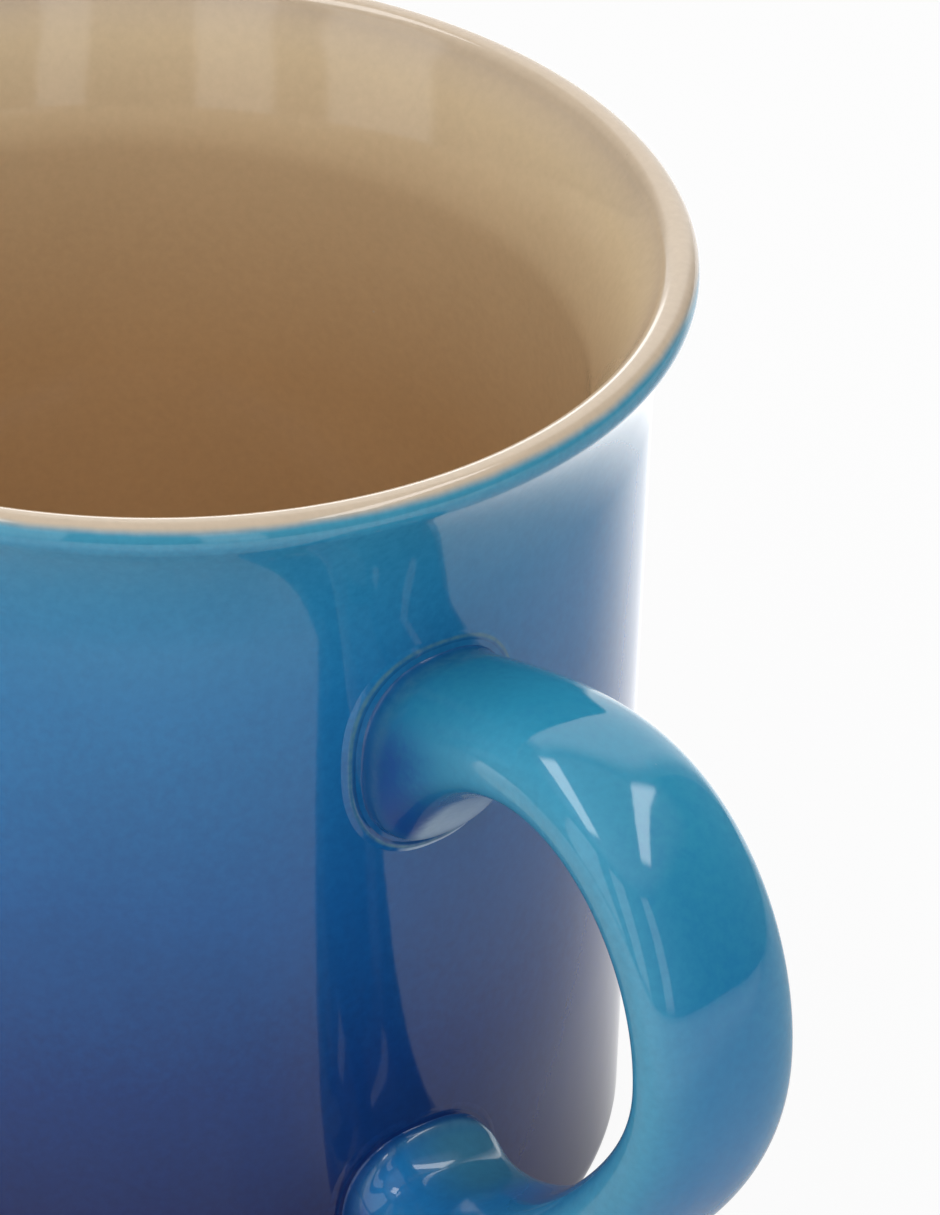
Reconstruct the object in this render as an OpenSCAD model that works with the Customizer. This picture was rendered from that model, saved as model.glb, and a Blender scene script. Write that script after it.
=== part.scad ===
// Soup mug: a turned stoneware cup with a flared rim and a strap handle.
// The cup's axis is Z, the table is z = 0 and the handle points along +X.
// All sizes are in millimetres.

/* [Cup] */
// Diameter over the rim
rim_d = 108; // [104:0.5:114]
// Height from the table to the crest of the rim
cup_h = 100; // [92:1:120]
// Outer diameter of the wall just under the flare
wall_top_d = 100; // [96:0.5:103]
// Outer diameter of the wall just above the rounded base edge
wall_low_d = 99.2; // [94:0.2:104]
// Thickness of the wall, with the glaze on both sides
wall_t = 6.1; // [4.5:0.1:8]
// Thickness of the round lip, to which the wall thins along the flare
lip_t = 3.9; // [3:0.1:4.4]
// Height of the flare under the rim
flare_h = 16; // [12:0.5:19]
// Thickness of the floor with its glaze
floor_t = 4.5; // [3:0.1:8]
// Radius of the rounded edge between the wall and the foot
edge_r = 5; // [3:0.25:7]
// Radius of the cove between the wall and the floor inside
cove_r = 10; // [5:0.5:16]

/* [Foot] */
// Inner diameter of the bare ring that the cup stands on
foot_in_d = 76; // [60:1:82]
// Depth of the recess inside that ring
recess_h = 1.5; // [0.5:0.1:3]
// Least width of that ring, which limits the rounded edge outside it
ring_w_min = 1.2; // [0.8:0.1:4]

/* [Glaze] */
// Thickness of each coat of glaze
glaze_t = 0.4; // [0.2:0.05:0.6]
// Slope of the lip, in degrees above level, where the two colours meet
border_a = 51; // [10:1:80]
// Height of the lower end of the outer coat above the table
bare_h = 0.4; // [0.2:0.1:2]

/* [Handle roots] */
// Depth of the upper root's centre below the rim
upper_root_drop = 31.2; // [28:0.2:36]
// Height of the upper root along the wall
upper_root_h = 19.8; // [14:0.2:21]
// Width of the upper root across the wall
upper_root_w = 16.8; // [14:0.2:24]
// Height of the lower root's centre above the table
lower_root_z = 16; // [14:0.2:24]
// Height of the lower root along the wall
lower_root_h = 17.6; // [12:0.2:20]
// Width of the lower root across the wall
lower_root_w = 17.6; // [14:0.2:24]

/* [Handle strap] */
// Reach of the strap's outer edge from the wall
strap_reach = 46.9; // [36:0.1:54]
// Thickness of the strap where it reaches farthest out
strap_t = 7.9; // [6:0.1:12]
// Width of the strap in its middle
strap_w = 17.1; // [12:0.1:22]
// Depth of the farthest point of the outer edge below the upper root's centre
belly_drop = 13.7; // [8:0.1:22]
// Depth of the farthest point of the inner edge below that of the outer edge
inner_drop = 0; // [-2:0.1:4]
// Rise of the outer edge where it leaves the upper root and the lower root, in degrees
outer_rise = [19.4, 28]; // [0:0.1:40]
// Lengths of the outer edge's tangents: upper root, belly up, belly down, lower root
outer_pull = [32.2, 19.3, 24.1, 17.1]; // [10:0.1:38]
// Rise of the inner edge where it leaves the upper root and the lower root, in degrees
inner_rise = [58, -57.8]; // [-75:0.1:75]
// Lengths of the inner edge's tangents: upper root, belly up, belly down, lower root
inner_pull = [31.9, 15.6, 12, 14.4]; // [8:0.1:36]
// Squareness of the strap's section: 2 is an ellipse and more is squarer
section_n = 2.4; // [2:0.1:3.2]

/* [Slip joints] */
// Thickness of the slip between the wall's outside and the handle's end
slip_t = 1; // [0.8:0.1:2]
// Width of the bead that the slip forms round the upper root
bead_w = 2; // [1.2:0.1:4]
// Height of that bead above the wall
bead_h = 0.35; // [0.2:0.05:1]
// Width of the bead round the lower root
lower_bead_w = 1.6; // [1.2:0.1:4]
// Height of that bead above the wall
lower_bead_h = 0.3; // [0.2:0.05:1]
// Height above the wall of the groove between a bead and the handle
groove_h = 0.05; // [0.05:0.05:0.3]

/* [Hidden] */
$fn = 360;

clay_color = [0.86, 0.80, 0.70];
slip_color = [0.80, 0.73, 0.62];
beige_color = [0.73, 0.63, 0.48];
blue_color = [0.12, 0.36, 0.60];
azure_color = [0.20, 0.52, 0.68];

// Points round a section of the strap, and steps along each of its two curves
section_steps = 36;
strap_steps = 12;
// Steps along each half of the lip, the flare, the rounded base edge and the cove
lip_steps = 8;
flare_steps = 12;
edge_steps = 6;
cove_steps = 8;
// Share of the flare over which its thinning sets in and dies out
taper_ease = 0.15;
// How deep a slip pad is drawn into the wall before the wall's shape is cut from it
pad_sink = 16;
// How far a cutting shape reaches past what it cuts
overshoot = 8;
// Power of the widening of the strap towards its roots
widen_power = 4;
// Shares of the bead's height and width on the way over it from the wall to the groove
bead_sides = [[0.2, 1], [0.7, 0.9], [1, 0.75], [0.85, 0.6], [0.4, 0.4], [0.15, 0.2]];

rim_r = rim_d / 2;
wall_top_r = wall_top_d / 2;
wall_low_r = wall_low_d / 2;
lip_r = lip_t / 2;
flare_z = cup_h - flare_h;
floor_z = recess_h + floor_t;

// The flare is an arc that leaves the wall upright and meets the round lip.
// Its radius is positive for a rim wider than the wall and negative for a narrower one.
lip_in = rim_r - lip_r - wall_top_r;
lip_up = flare_h - lip_r;
flare_r = (lip_in * lip_in + lip_up * lip_up - lip_r * lip_r) / (2 * (lip_in + lip_r));
flare_c = [wall_top_r + flare_r, flare_z];
lip_c = [rim_r - lip_r, cup_h - lip_r];
lip_a = atan2(lip_up, lip_in - flare_r) + (flare_r > 0 ? 0 : 180);

// The rounded base edge and the cove
round_r = min(edge_r, wall_low_r - glaze_t - foot_in_d / 2 - ring_w_min);
edge_c = [wall_low_r - glaze_t - round_r, round_r];
bare_a = asin((round_r - bare_h) / (round_r + glaze_t));
cove_c = [wall_low_r - wall_t - cove_r, floor_z + cove_r];

// Radius of the bare clay wall at a height
function clay_line(z) =
    wall_low_r + (wall_top_r - wall_low_r) * (z - round_r) / (flare_z - round_r) - glaze_t;
function clay_flare(z) =
    flare_c[0] - sign(flare_r) * sqrt(pow(flare_r + glaze_t, 2) - pow(z - flare_z, 2));
function clay_edge(z) = edge_c[0] + sqrt(pow(round_r, 2) - pow(round_r - z, 2));
function clay_r(z) =
    z > flare_z ? clay_flare(z) : z < round_r ? clay_edge(max(z, 0)) : clay_line(z);

// The handle: its two ends stand off the wall by the slip, and its belly by the reach
upper_root_z = cup_h - upper_root_drop;
belly_z = upper_root_z - belly_drop;
belly_x = clay_r(belly_z) + glaze_t + strap_reach;
function end_x(root_z, root_h) =
    max(clay_r(root_z + root_h / 2), clay_r(root_z - root_h / 2)) + glaze_t + slip_t;

// A signed power, for superellipses
function spow(v, p) = sign(v) * pow(abs(v), p);
// Unit superellipse: sideways and upright share at angle a
function oval(a) = [spow(sin(a), 2 / section_n), spow(cos(a), 2 / section_n)];
section_angles = [for (i = [0 : section_steps - 1]) 360 * i / section_steps];

// Outline of a root, grown by a width, as [y, z] points
function root_outline(z, h, w, grow) =
    [for (a = section_angles) [(w / 2 + grow) * oval(a)[0], z + (h / 2 + grow) * oval(a)[1]]];
// The same outline laid on the clay wall and lifted off it
function on_wall(points, lift) =
    [for (p = points) [sqrt(pow(clay_r(p[1]) + lift, 2) - p[0] * p[0]), p[0], p[1]]];
// The same outline in the upright plane at x
function on_plane(points, x) = [for (p = points) [x, p[0], p[1]]];

// A root is [centre height, height, width, bead width, bead height]
upper_root = [upper_root_z, upper_root_h, upper_root_w, bead_w, bead_h];
lower_root = [lower_root_z, lower_root_h, lower_root_w, lower_bead_w, lower_bead_h];
// The outline of a root, grown by a width
function grown(root, grow) = root_outline(root[0], root[1], root[2], grow);

// Rings over the bead and down into the groove; the coat is 0 or glaze_t thick
function bead_rings(root, coat) = [
    for (s = bead_sides)
        on_wall(grown(root, root[3] * s[1] + coat - glaze_t), root[4] * s[0] + coat),
    on_wall(grown(root, coat - glaze_t), groove_h + coat)
];
// A root's whole skin, from the ring where the bead meets the clay wall to the groove
function root_rings(root, coat) =
    concat([on_wall(grown(root, root[3] + coat - glaze_t), 0)], bead_rings(root, coat));

// A cubic curve through two ends with two tangent points
function bezier(p, t) =
    pow(1 - t, 3) * p[0] + 3 * pow(1 - t, 2) * t * p[1] + 3 * (1 - t) * t * t * p[2] + pow(t, 3) * p[3];
// One edge of the strap from the upper root over the belly to the lower root, as [x, z] points
function strap_edge(top_z, low_z, belly, rise, pull) =
    let (
        top = [end_x(upper_root_z, upper_root_h), top_z],
        low = [end_x(lower_root_z, lower_root_h), low_z],
        upper = [
            top,
            top + pull[0] * [cos(rise[0]), sin(rise[0])],
            belly + [0, pull[1]],
            belly
        ],
        lower = [
            belly,
            belly - [0, pull[2]],
            low + pull[3] * [cos(rise[1]), sin(rise[1])],
            low
        ]
    )
    [
        for (i = [0 : strap_steps]) bezier(upper, i / strap_steps),
        for (i = [1 : strap_steps]) bezier(lower, i / strap_steps)
    ];

outer_edge = strap_edge(
    upper_root_z + upper_root_h / 2,
    lower_root_z - lower_root_h / 2,
    [belly_x, belly_z],
    outer_rise,
    outer_pull
);
inner_edge = strap_edge(
    upper_root_z - upper_root_h / 2,
    lower_root_z + lower_root_h / 2,
    [belly_x - strap_t, belly_z - inner_drop],
    inner_rise,
    inner_pull
);

// Half the strap's width at a share s of its length
function half_width(s) =
    let (root_w = s < 0.5 ? upper_root_w : lower_root_w)
    (strap_w + (root_w - strap_w) * pow(abs(2 * s - 1), widen_power)) / 2;
// The strap's rings, with the surface drawn in by a depth
function strap_rings(inset) = [
    for (i = [0 : 2 * strap_steps])
        let (
            half = (outer_edge[i] - inner_edge[i]) / 2,
            mid = (outer_edge[i] + inner_edge[i]) / 2,
            up = half * (1 - inset / norm(half)),
            side = half_width(i / (2 * strap_steps)) - inset
        )
        [
            for (a = section_angles)
                let (o = oval(a))
                [mid[0] + up[0] * o[1], side * o[0], mid[1] + up[1] * o[1]]
        ]
];

// Turns a list of rings upside down, so that a lower root runs on from the strap
function mirrored(rings) =
    [for (r = rings) [for (i = [0 : section_steps - 1]) r[(section_steps * 3 / 2 - i) % section_steps]]];
function reversed(list) = [for (i = [len(list) - 1 : -1 : 0]) list[i]];
function joined(list) = [for (part = list) each part];

// Faces between two neighbouring rings of a skin, and over its ends
function skin_faces(count, first, flip) = [
    for (k = [0 : count - 2], i = [0 : section_steps - 1])
        let (
            j = (i + 1) % section_steps,
            a = first + k * section_steps + i,
            b = first + k * section_steps + j,
            c = a + section_steps,
            d = b + section_steps
        )
        each flip ? [[a, c, b], [b, c, d]] : [[a, b, c], [b, d, c]]
];
function end_face(first, flip) =
    let (ring = [for (i = [0 : section_steps - 1]) first + i])
    flip ? ring : reversed(ring);
// Faces between the end rings of an outer and an inner skin
function end_band(outer_first, inner_first, flip) = [
    for (i = [0 : section_steps - 1])
        let (
            j = (i + 1) % section_steps,
            a = outer_first + i,
            b = outer_first + j,
            c = inner_first + i,
            d = inner_first + j
        )
        each flip ? [[a, b, c], [b, d, c]] : [[a, c, b], [b, c, d]]
];

// A closed solid through a list of rings with flat ends
module lofted(rings) {
    last = (len(rings) - 1) * section_steps;
    polyhedron(
        points = joined(rings),
        faces = concat(
            skin_faces(len(rings), 0, false),
            [end_face(0, false), end_face(last, true)]
        )
    );
}

// A tube between an outer and an inner list of rings
module lofted_tube(outer_rings, inner_rings) {
    count = len(outer_rings);
    inner_first = count * section_steps;
    last = (count - 1) * section_steps;
    polyhedron(
        points = concat(joined(outer_rings), joined(inner_rings)),
        faces = concat(
            skin_faces(count, 0, false),
            skin_faces(count, inner_first, true),
            end_band(0, inner_first, false),
            end_band(last, inner_first + last, true)
        )
    );
}

// Points of an arc round a centre, from one angle to another
function arc(centre, r, from_a, to_a, steps) = [
    for (i = [0 : steps])
        let (a = from_a + (to_a - from_a) * i / steps)
        centre + r * [cos(a), sin(a)]
];

// The cup's outside from the border on the lip down to the bare foot, a depth under the glaze
function outside(depth) = concat(
    arc(lip_c, lip_r - depth, border_a, lip_a - 180, lip_steps),
    arc(flare_c, flare_r + depth, lip_a, 180, flare_steps),
    arc(edge_c, round_r + glaze_t - depth, 0, -bare_a, edge_steps)
);
// A straight ramp from 0 to 1 with softened ends
function ramp(s) =
    s < taper_ease ? s * s / (2 * taper_ease * (1 - taper_ease)) :
    s > 1 - taper_ease ? 1 - ramp(1 - s) :
    (s - taper_ease / 2) / (1 - taper_ease);
// The inside of the flare, where the lip's thickness grows to the wall's
function flare_inside(depth) = [
    for (i = [0 : flare_steps])
        let (
            s = i / flare_steps,
            a = lip_a + (180 - lip_a) * s,
            t = lip_t + (wall_t - lip_t) * ramp(s)
        )
        flare_c + (flare_r + t - depth) * [cos(a), sin(a)]
];
// The cup's inside from the border on the lip down to the middle of the floor
function inside(depth) = concat(
    arc(lip_c, lip_r - depth, border_a, lip_a, lip_steps),
    flare_inside(depth),
    arc(cove_c, cove_r + depth, 0, -90, cove_steps),
    [[0, floor_z - depth]]
);

// Half section of the bare clay cup
module clay_section() {
    foot = [
        each arc(edge_c, round_r, -bare_a, -90, edge_steps),
        [foot_in_d / 2, 0],
        [foot_in_d / 2 - recess_h, recess_h],
        [0, recess_h]
    ];
    polygon(concat(outside(glaze_t), foot, reversed(inside(glaze_t))));
}

// Half section of the beige coat
module interior_section() {
    polygon(concat(inside(0), reversed(inside(glaze_t))));
}

// Half section of the blue coat on the cup
module exterior_section() {
    polygon(concat(outside(0), reversed(outside(glaze_t))));
}

// The opening in the blue coat where a root and its bead stand on the clay
module root_cut(root) {
    translate([clay_r(root[0]) - overshoot, 0, 0])
        rotate([90, 0, 90])
            linear_extrude(2 * overshoot)
                polygon(grown(root, root[3]));
}

// The cup's clay as a plug with no hollow, to cut the wall's shape from a slip pad
module clay_plug() {
    rotate_extrude() polygon(concat(outside(glaze_t), [[0, bare_h], [0, cup_h]]));
}

// A slip pad: the bead round a root and the flat face for the handle's end, seated on the wall
module slip_pad(root) {
    end = end_x(root[0], root[1]);
    sunk = on_plane(grown(root, root[3] - glaze_t), end - pad_sink);
    face = on_plane(grown(root, -glaze_t), end);
    difference() {
        lofted(concat([sunk], bead_rings(root, 0), [face]));
        clay_plug();
    }
}

module cup_body() {
    color(clay_color) rotate_extrude() clay_section();
}

module handle() {
    color(clay_color) lofted(strap_rings(glaze_t));
}

module upper_slip_joint() {
    color(slip_color) slip_pad(upper_root);
}

module lower_slip_joint() {
    color(slip_color) slip_pad(lower_root);
}

module interior_glaze() {
    color(beige_color) rotate_extrude() interior_section();
}

module exterior_glaze() {
    color(blue_color)
        difference() {
            rotate_extrude() exterior_section();
            root_cut(upper_root);
            root_cut(lower_root);
        }
}

module handle_glaze() {
    function skin(coat) = concat(
        root_rings(upper_root, coat),
        strap_rings(glaze_t - coat),
        reversed(mirrored(root_rings(lower_root, coat)))
    );
    color(azure_color) lofted_tube(skin(glaze_t), skin(0));
}

cup_body();
handle();
upper_slip_joint();
lower_slip_joint();
interior_glaze();
exterior_glaze();
handle_glaze();
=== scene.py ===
# %% [markdown]
# # A glazed soup mug
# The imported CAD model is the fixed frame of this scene: every new piece is
# drawn in its metres and its axes, so nothing has to be fitted afterwards.
# The cup's axis is Z, the table is z = 0 and the handle points along +X.

# %% Load the frame
import math

import bpy
import numpy as np
from mathutils import Matrix


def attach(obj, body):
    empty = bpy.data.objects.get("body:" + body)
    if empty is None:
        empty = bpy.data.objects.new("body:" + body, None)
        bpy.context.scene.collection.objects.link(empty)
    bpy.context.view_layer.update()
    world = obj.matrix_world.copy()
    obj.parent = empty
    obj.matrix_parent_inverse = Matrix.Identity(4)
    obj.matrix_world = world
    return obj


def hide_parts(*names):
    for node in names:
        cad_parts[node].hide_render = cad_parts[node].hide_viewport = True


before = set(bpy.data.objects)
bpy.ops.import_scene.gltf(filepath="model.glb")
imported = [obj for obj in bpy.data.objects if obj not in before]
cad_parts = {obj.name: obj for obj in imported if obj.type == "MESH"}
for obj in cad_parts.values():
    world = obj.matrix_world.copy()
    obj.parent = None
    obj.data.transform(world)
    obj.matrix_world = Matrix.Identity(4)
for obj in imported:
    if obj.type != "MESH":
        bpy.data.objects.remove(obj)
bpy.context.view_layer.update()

# %% [markdown]
# ## Sizes of the cup
# A potter's drawing of this cup needs few numbers: a straight wall, an arc that
# flares to the rim, a half-round lip, a rounded base edge and a cove inside.
# They are the CAD model's own sizes, written once here in metres.

# %% Sizes of the cup
MM = 0.001
RIM_R = 54 * MM
CUP_H = 100 * MM
WALL_TOP_R = 50 * MM
WALL_LOW_R = 49.6 * MM
WALL_T = 6.1 * MM
LIP_T = 3.9 * MM
TAPER_EASE = 0.15  # share of the flare at each end over which the thickening eases in and out
FLARE_H = 16 * MM
FLOOR_T = 4.5 * MM
EDGE_R = 5 * MM
COVE_R = 10 * MM
FOOT_IN_R = 38 * MM
RECESS_H = 1.5 * MM
GLAZE_T = 0.4 * MM
BARE_H = 0.4 * MM  # the blue glaze ends this high over the table
BORDER_A = math.radians(51)  # where on the half-round lip the two glazes meet

LIP_R = LIP_T / 2
FLARE_Z = CUP_H - FLARE_H
FLOOR_Z = RECESS_H + FLOOR_T
lip_in = RIM_R - LIP_R - WALL_TOP_R
lip_up = FLARE_H - LIP_R
FLARE_R = (lip_in**2 + lip_up**2 - LIP_R**2) / (2 * (lip_in + LIP_R))
FLARE_C = np.array([WALL_TOP_R + FLARE_R, FLARE_Z])
LIP_C = np.array([RIM_R - LIP_R, CUP_H - LIP_R])
LIP_A = math.atan2(lip_up, lip_in - FLARE_R)
EDGE_C = np.array([WALL_LOW_R - GLAZE_T - EDGE_R, EDGE_R])
BARE_A = math.asin((EDGE_R - BARE_H) / (EDGE_R + GLAZE_T))
COVE_C = np.array([WALL_LOW_R - WALL_T - COVE_R, FLOOR_Z + COVE_R])
print("flare radius: %.1f mm" % (FLARE_R / MM))

# %% [markdown]
# ## The cup's outlines
# A cup thrown on a wheel is a line turned round an axis. The line could be a
# curve with a Screw modifier, but points worked out from arcs keep the lip and
# the flare truly round, and the same lines serve the clay and both its coats.

# %% The cup's outlines
LIP_STEPS, FLARE_STEPS, WALL_STEPS, EDGE_STEPS = 22, 26, 24, 14
INNER_FLARE_STEPS, INNER_WALL_STEPS, COVE_STEPS, FLOOR_STEPS = 30, 20, 16, 8
FOOT_STEPS, RECESS_STEPS = 8, 6


def arc(centre, radius, start, end, count):
    """Points on a circle: the centre plus the radius times (cos, sin) of evenly spaced angles."""
    angle = np.linspace(start, end, count)[:, None]
    return centre + radius * np.hstack([np.cos(angle), np.sin(angle)])


def straight(first, last, count):
    """Points between two ends, the ends left out: first plus a growing share of the way to last."""
    share = np.linspace(0, 1, count + 2)[1:-1, None]
    return first + share * (last - first)


def outside_line(depth):
    """Lip, flare, wall and base edge from the colour border down, a depth under the glaze."""
    lip = arc(LIP_C, LIP_R - depth, BORDER_A, LIP_A - math.pi, LIP_STEPS)
    flare = arc(FLARE_C, FLARE_R + depth, LIP_A, math.pi, FLARE_STEPS)[1:]
    edge = arc(EDGE_C, EDGE_R + GLAZE_T - depth, 0, -BARE_A, EDGE_STEPS)
    return np.vstack([lip, flare, straight(flare[-1], edge[0], WALL_STEPS), edge])


def taper(share):
    """A straight ramp from 0 to 1 whose two ends are short parabolas."""
    bend = 2 * TAPER_EASE * (1 - TAPER_EASE)
    middle = (share - TAPER_EASE / 2) / (1 - TAPER_EASE)
    late = np.where(share > 1 - TAPER_EASE, 1 - (1 - share) ** 2 / bend, middle)
    return np.where(share < TAPER_EASE, share**2 / bend, late)


def flare_inside(depth, count):
    """The flare's arc, set in by a thickness that grows from the lip's to the wall's."""
    share = np.linspace(0, 1, count)[:, None]
    reach = FLARE_R + LIP_T + (WALL_T - LIP_T) * taper(share) - depth
    return arc(FLARE_C, reach, LIP_A, math.pi, count)


def inside_line(depth):
    """Lip, flare, wall, cove and floor from the colour border to the axis, a depth under the glaze."""
    lip = arc(LIP_C, LIP_R - depth, BORDER_A, LIP_A, LIP_STEPS)
    flare = flare_inside(depth, INNER_FLARE_STEPS)[1:]
    cove = arc(COVE_C, COVE_R + depth, 0, -math.pi / 2, COVE_STEPS)
    wall = straight(flare[-1], cove[0], INNER_WALL_STEPS)
    middle = np.array([[0, FLOOR_Z - depth]])
    return np.vstack([lip, flare, wall, cove, straight(cove[-1], middle[0], FLOOR_STEPS), middle])


def foot_line():
    """Bare clay under the cup: the rest of the base edge, the standing ring and the recess."""
    edge = arc(EDGE_C, EDGE_R, -BARE_A, -math.pi / 2, FOOT_STEPS)[1:]
    ring = np.array([[FOOT_IN_R, 0], [FOOT_IN_R - RECESS_H, RECESS_H]])
    middle = np.array([[0, RECESS_H]])
    return np.vstack([edge, ring, straight(ring[-1], middle[0], RECESS_STEPS), middle])


print("outside: %d points, inside: %d" % (len(outside_line(0)), len(inside_line(0))))

# %% [markdown]
# ## Turning an outline
# Each outline becomes a grid: its points one way, the turn round the axis the
# other way. Points on the axis are one vertex each, so the floor has a closed
# pole, and an outline that comes back to its start closes into a shell.

# %% Turning an outline
TURNS = 256
SHARP_EDGE = math.radians(40)
POLE_R = 1e-9  # an outline point nearer to the axis than this is a pole


def new_mesh(name, points, faces):
    """A mesh object at the origin, smooth except where its faces meet at a sharp edge."""
    mesh = bpy.data.meshes.new(name)
    mesh.from_pydata(points.tolist(), [], faces)
    mesh.validate()
    mesh.shade_smooth()
    mesh.set_sharp_from_angle(angle=SHARP_EDGE)
    piece = bpy.data.objects.new(name, mesh)
    bpy.context.collection.objects.link(piece)
    print(name, "has", len(mesh.vertices), "points and", len(mesh.polygons), "faces")
    return piece


def grid_faces(rows, columns, wrap):
    """Quads between neighbouring rows and columns; columns always close, rows where wrap is set."""
    row = np.arange(rows if wrap else rows - 1)[:, None]
    column = np.arange(columns)[None, :]
    after = (column + 1) % columns
    above = (row + 1) % rows
    quads = np.stack(
        [row * columns + column, row * columns + after, above * columns + after, above * columns + column],
        axis=-1,
    )
    return quads.reshape(-1, 4)


def turned(name, line):
    """Each outline point (r, z) goes to (r cos t, r sin t, z) for t round the circle."""
    t = np.linspace(0, 2 * math.pi, TURNS, endpoint=False)
    poles = line[:, 0] < POLE_R
    body = line[~poles]
    points = np.stack(
        [body[:, :1] * np.cos(t), body[:, :1] * np.sin(t), np.repeat(body[:, 1:], TURNS, axis=1)],
        axis=-1,
    ).reshape(-1, 3)
    faces = grid_faces(len(body), TURNS, not poles.any())[:, ::-1].tolist()
    around = np.arange(TURNS)
    for end, pole in zip((len(body) - 1, 0), np.flatnonzero(poles)[::-1]):
        tip = len(points)
        points = np.vstack([points, [0, 0, line[pole, 1]]])
        ring, after = end * TURNS + around, end * TURNS + (around + 1) % TURNS
        fan = np.stack([after, ring, np.full(TURNS, tip)], axis=-1)
        faces += (fan if end else fan[:, ::-1]).tolist()
    return new_mesh(name, points, faces)


print("steps in a turn:", TURNS)

# %% [markdown]
# ## Where the two colours meet
# The beige of the inside and the blue of the outside meet on the lip and run
# into one another a little. Both coats therefore carry the same number on their
# points: the way along the surface from the border, in metres, less than zero
# on the beige side. The two materials read it and agree on the colour there.

# %% The clay cup and its two coats
# the dipped border sags: turns about Z in degrees and how far it lies below its circle, in millimetres
SAG_TURNS = (-180, -40, -26, 36, 56, 150, 180)
SAG_DROPS = (0, 0, 0.24, 0.26, 1.2, 1.0, 0)
LIP_SLACK = 1.02  # past this many radii from the lip's centre, a point is no longer on the lip


def mark(piece, name, values):
    """Writes one number per point as a named attribute of the mesh."""
    layer = piece.data.attributes.new(name, "FLOAT", "POINT")
    layer.data.foreach_set("value", np.asarray(values, dtype=np.float32).ravel())


def way_from_border(piece, side):
    """Length from the sagging border: the arc on the lip, and the depth under the rim below it."""
    place = np.empty(len(piece.data.vertices) * 3)
    piece.data.vertices.foreach_get("co", place)
    x, y, z = place.reshape(-1, 3).T
    out, up = np.hypot(x, y) - LIP_C[0], z - LIP_C[1]
    lip = side * (BORDER_A - np.arctan2(up, out)) * LIP_R
    below = np.hypot(out, up) > LIP_R * LIP_SLACK
    way = np.where(below, CUP_H - z, lip)
    sag = np.interp(np.degrees(np.arctan2(y, x)), SAG_TURNS, SAG_DROPS) * MM
    mark(piece, "rim_way", side * np.abs(way) - sag)


clay_line = np.vstack([inside_line(GLAZE_T)[::-1], outside_line(GLAZE_T)[1:], foot_line()])
clay_cup = turned("clay_cup", clay_line)
beige_coat = turned("beige_coat", np.vstack([inside_line(0)[::-1], inside_line(GLAZE_T)]))
blue_coat = turned("blue_coat", np.vstack([outside_line(0), outside_line(GLAZE_T)[::-1]]))
way_from_border(beige_coat, -1)
way_from_border(blue_coat, 1)

# %% [markdown]
# ## The handle's coat
# The handle is a strap luted to the wall: its two edges are drawn curves, its
# section is a rounded oval, and at each root the slip has squeezed out into a
# bead with a groove inside it. Modelling it by hand with a subdivision cage
# would do, but rings with a smooth curve through them keep every size.

# %% Sizes of the handle
# each root: the height of its middle over the table, then its own height and width
UPPER_Z, UPPER_H, UPPER_W = 68.8 * MM, 19.8 * MM, 16.8 * MM
LOWER_Z, LOWER_H, LOWER_W = 16 * MM, 17.6 * MM, 17.6 * MM
REACH, STRAP_T, STRAP_W = 46.9 * MM, 7.9 * MM, 17.1 * MM
BELLY_DROP = 13.7 * MM
# each edge: its slope at the two roots in degrees, and how far its four Bezier handles reach
OUTER_RISE, OUTER_PULL = (19.4, 28), np.array([32.2, 19.3, 24.1, 17.1]) * MM
INNER_RISE, INNER_PULL = (58, -57.8), np.array([31.9, 15.6, 12, 14.4]) * MM
SECTION_N, WIDEN_POWER = 2.4, 4
SLIP_T = 1 * MM


def wall_r(z):
    """Radius of the glazed wall at a height: the base edge's arc, a straight line, the flare's arc."""
    line = WALL_LOW_R + (WALL_TOP_R - WALL_LOW_R) * (z - EDGE_R) / (FLARE_Z - EDGE_R)
    up = np.clip(z - FLARE_Z, 0, FLARE_R)
    flare = FLARE_C[0] - np.sqrt(FLARE_R**2 - up**2)
    low = np.clip(EDGE_R - z, 0, EDGE_R)
    edge = EDGE_C[0] + np.sqrt((EDGE_R + GLAZE_T) ** 2 - low**2)
    return np.where(z > FLARE_Z, flare, np.where(z < EDGE_R, edge, line))


def strap_end(z, h):
    """Where the strap starts at a root: the slip's thickness off the wall's widest place there."""
    return float(max(wall_r(z + h / 2), wall_r(z - h / 2))) + SLIP_T


END_UP, END_LOW = strap_end(UPPER_Z, UPPER_H), strap_end(LOWER_Z, LOWER_H)
BELLY_Z = UPPER_Z - BELLY_DROP
BELLY_X = float(wall_r(BELLY_Z)) + REACH
print("handle ends at x = %.2f and %.2f mm, belly at %.2f mm" % (END_UP / MM, END_LOW / MM, BELLY_X / MM))

# %% [markdown]
# ## The strap's edges and sections
# Seen from the side, the strap is the band between two curves. Each is a pair
# of Bezier curves, as you would draw them in a curve object's Edit Mode, and
# between the same places on both edges stands one oval section.

# %% The strap's edges and sections
ROUND, STRAP_STEPS = 112, 40
AROUND = np.linspace(0, 2 * math.pi, ROUND, endpoint=False)


def oval():
    """Superellipse: the sine and cosine round a section, each to the power 2 over n, signs kept."""
    s, c = np.sin(AROUND), np.cos(AROUND)
    power = 2 / SECTION_N
    return np.sign(s) * np.abs(s) ** power, np.sign(c) * np.abs(c) ** power


SIDE, RISE = oval()


def bezier(p, t):
    """Cubic curve: the four points weighted by the Bernstein shares of t."""
    t = t[:, None]
    return (1 - t) ** 3 * p[0] + 3 * (1 - t) ** 2 * t * p[1] + 3 * (1 - t) * t**2 * p[2] + t**3 * p[3]


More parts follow.
